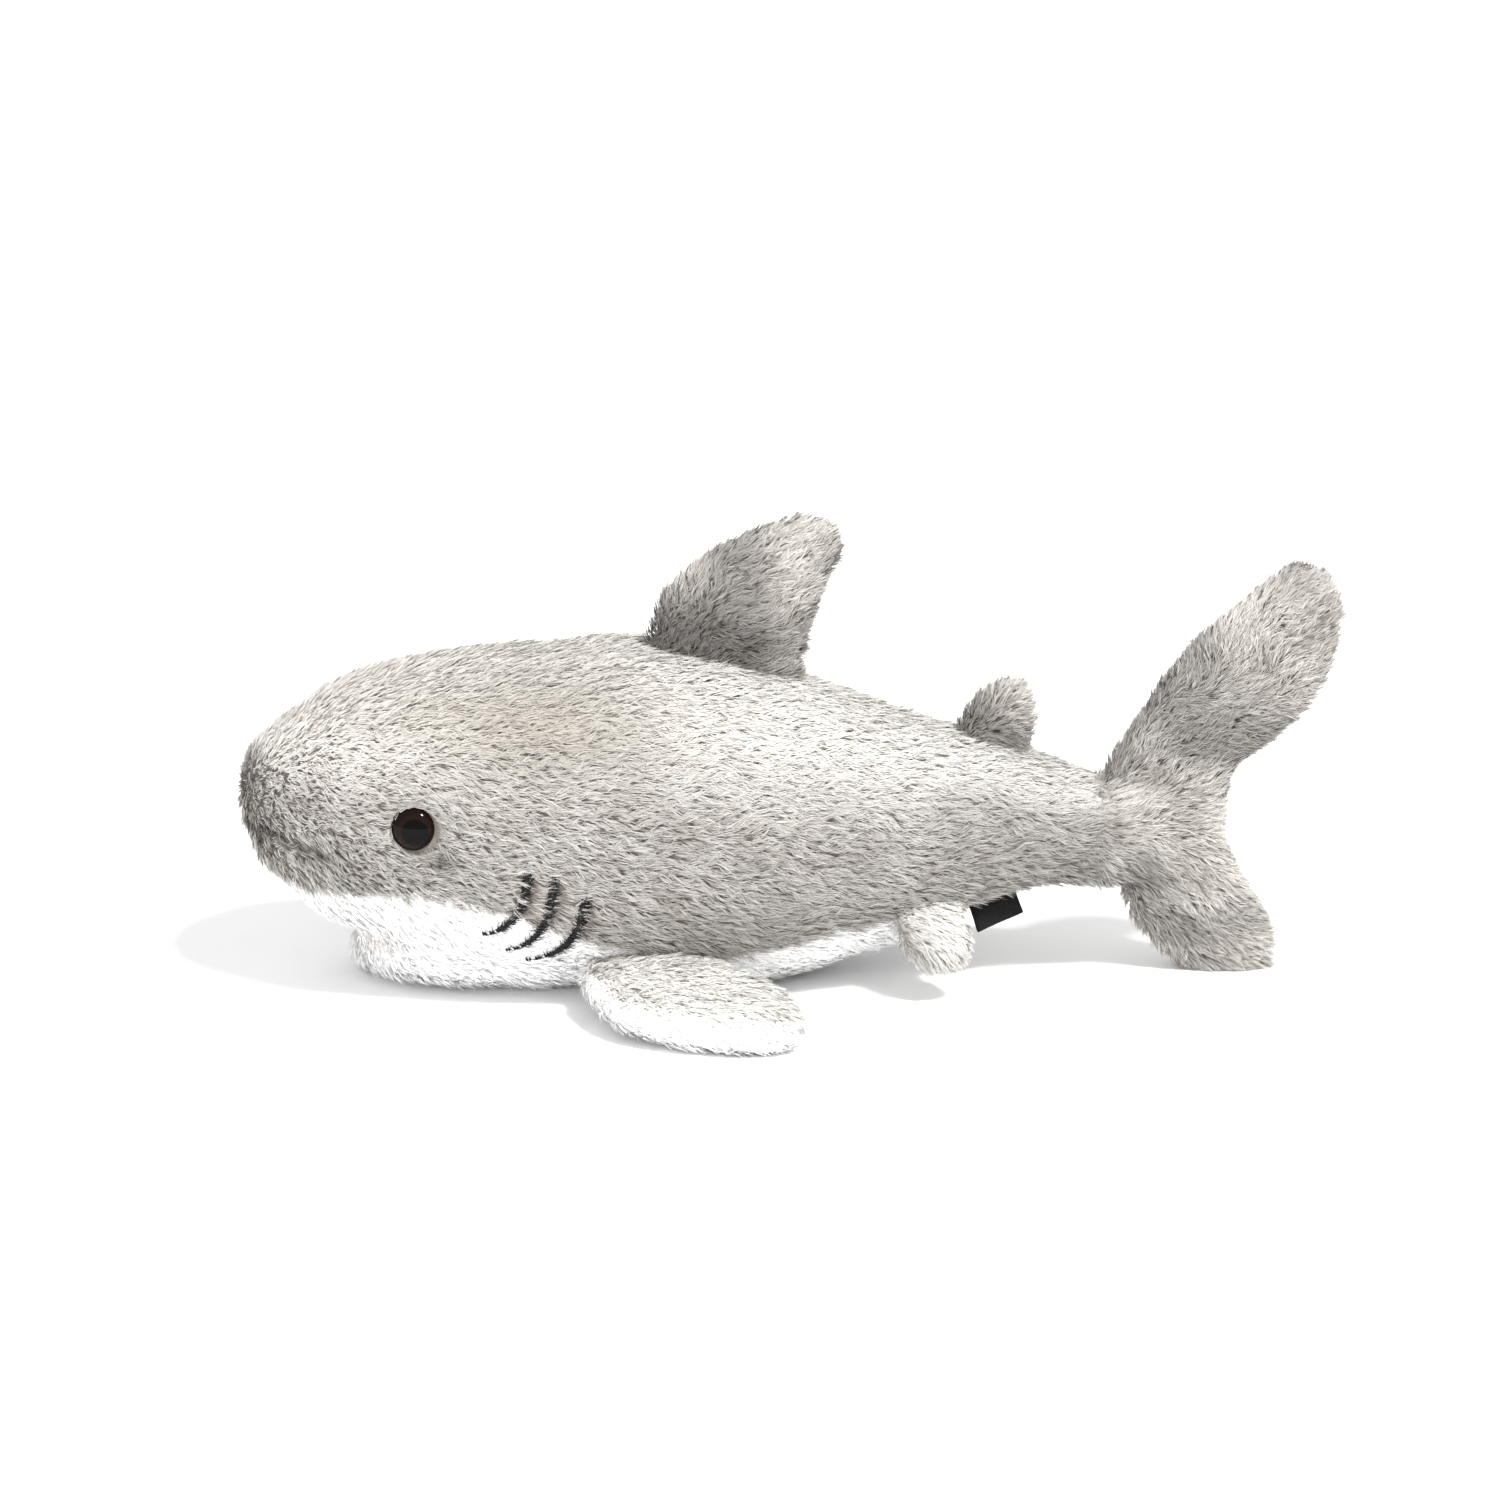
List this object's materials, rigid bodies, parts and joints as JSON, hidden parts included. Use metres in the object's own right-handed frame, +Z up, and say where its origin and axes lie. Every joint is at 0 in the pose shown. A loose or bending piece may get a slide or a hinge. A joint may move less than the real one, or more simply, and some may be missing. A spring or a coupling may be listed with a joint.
{
  "type": "plush shark",
  "caption": "Soft grey and white plush shark lying on its chest, with stuffed fins that flap, a tail that sways, glossy eyes and embroidered gills.",
  "frame": {"origin": "on the floor under the middle of the shark", "axes": "+Z up, head towards -X, tail towards +X, the shark's left side at -Y"},
  "size_m": [0.374, 0.201, 0.1585],
  "materials": {
    "grey_pile": "long soft pile, light warm grey with frosted tips",
    "white_pile": "shorter soft pile, warm white",
    "fibre_fill": "loose polyester fibre",
    "eye_plastic": "polished black with a dark brown ring",
    "washer_plastic": "moulded, natural white",
    "mouth_cloth": "thin brushed pinkish-brown cloth",
    "black_thread": "satin stitch",
    "seam_thread": "twisted sewing thread",
    "label_weave": "tightly woven, blank, satin"
  },
  "bodies": {
    "torso": {"back_panel_left": "grey_pile", "back_panel_right": "grey_pile", "belly_panel": "white_pile", "body_stuffing": "fibre_fill", "chin_panel": "white_pile", "closing_stitches": "seam_thread", "eye_left": "eye_plastic", "eye_right": "eye_plastic", "eye_washer_left": "washer_plastic", "eye_washer_right": "washer_plastic", "gill_stitches_left": "black_thread", "gill_stitches_right": "black_thread", "mouth_lining": "mouth_cloth", "snout_panel": "white_pile"},
    "dorsal_fin": {"dorsal_fin_panel_left": "grey_pile", "dorsal_fin_panel_right": "grey_pile", "dorsal_fin_stuffing": "fibre_fill"},
    "rear_dorsal_fin": {"rear_dorsal_fin_panel_left": "grey_pile", "rear_dorsal_fin_panel_right": "grey_pile", "rear_dorsal_fin_stuffing": "fibre_fill"},
    "tail_fin": {"tail_fin_panel_left": "grey_pile", "tail_fin_panel_right": "grey_pile", "tail_fin_stuffing": "fibre_fill"},
    "pectoral_fin_left": {"pectoral_fin_left_stuffing": "fibre_fill", "pectoral_fin_left_top": "grey_pile", "pectoral_fin_left_underside": "white_pile"},
    "pectoral_fin_right": {"pectoral_fin_right_stuffing": "fibre_fill", "pectoral_fin_right_top": "grey_pile", "pectoral_fin_right_underside": "white_pile"},
    "pelvic_fin_left": {"pelvic_fin_left_stuffing": "fibre_fill", "pelvic_fin_left_top": "grey_pile", "pelvic_fin_left_underside": "white_pile"},
    "pelvic_fin_right": {"pelvic_fin_right_stuffing": "fibre_fill", "pelvic_fin_right_top": "grey_pile", "pelvic_fin_right_underside": "white_pile"},
    "label": {"label": "label_weave"}
  },
  "joints": [
    {"name": "tail_sway", "type": "hinge", "parent": "torso", "child": "tail_fin", "pos_m": [0.1215, 0, 0.05], "axis": [-0.1994, 0, 0.9799], "range_deg": [-35, 35], "stiffness_Nm_per_rad": 0.15},
    {"name": "dorsal_flop", "type": "hinge", "parent": "torso", "child": "dorsal_fin", "pos_m": [-0.046, 0, 0.1173], "axis": [0.9757, 0, -0.219], "range_deg": [-30, 30], "stiffness_Nm_per_rad": 0.04},
    {"name": "rear_dorsal_flop", "type": "hinge", "parent": "torso", "child": "rear_dorsal_fin", "pos_m": [0.0595, 0, 0.0846], "axis": [0.9547, 0, -0.2975], "range_deg": [-30, 30], "stiffness_Nm_per_rad": 0.01},
    {"name": "pectoral_flap_left", "type": "hinge", "parent": "torso", "child": "pectoral_fin_left", "pos_m": [-0.067, -0.0495, 0.015], "axis": [-0.9993, -0.0349, 0.0116], "range_deg": [-30, 40], "stiffness_Nm_per_rad": 0.05},
    {"name": "pectoral_flap_right", "type": "hinge", "parent": "torso", "child": "pectoral_fin_right", "pos_m": [-0.067, 0.0495, 0.015], "axis": [0.9993, -0.0349, -0.0116], "range_deg": [-30, 40], "stiffness_Nm_per_rad": 0.05},
    {"name": "pelvic_flap_left", "type": "hinge", "parent": "torso", "child": "pelvic_fin_left", "pos_m": [0.038, -0.0343, 0.026], "axis": [-0.9227, -0.3598, -0.1384], "range_deg": [-15, 45], "stiffness_Nm_per_rad": 0.01},
    {"name": "pelvic_flap_right", "type": "hinge", "parent": "torso", "child": "pelvic_fin_right", "pos_m": [0.038, 0.0343, 0.026], "axis": [0.9227, -0.3598, 0.1384], "range_deg": [-15, 45], "stiffness_Nm_per_rad": 0.01},
    {"name": "label_swing", "type": "hinge", "parent": "torso", "child": "label", "pos_m": [0.063, -0.0172, 0.0269], "axis": [-0.8454, -0.4745, -0.2454], "range_deg": [-20, 60], "stiffness_Nm_per_rad": 0.0005}
  ]
}
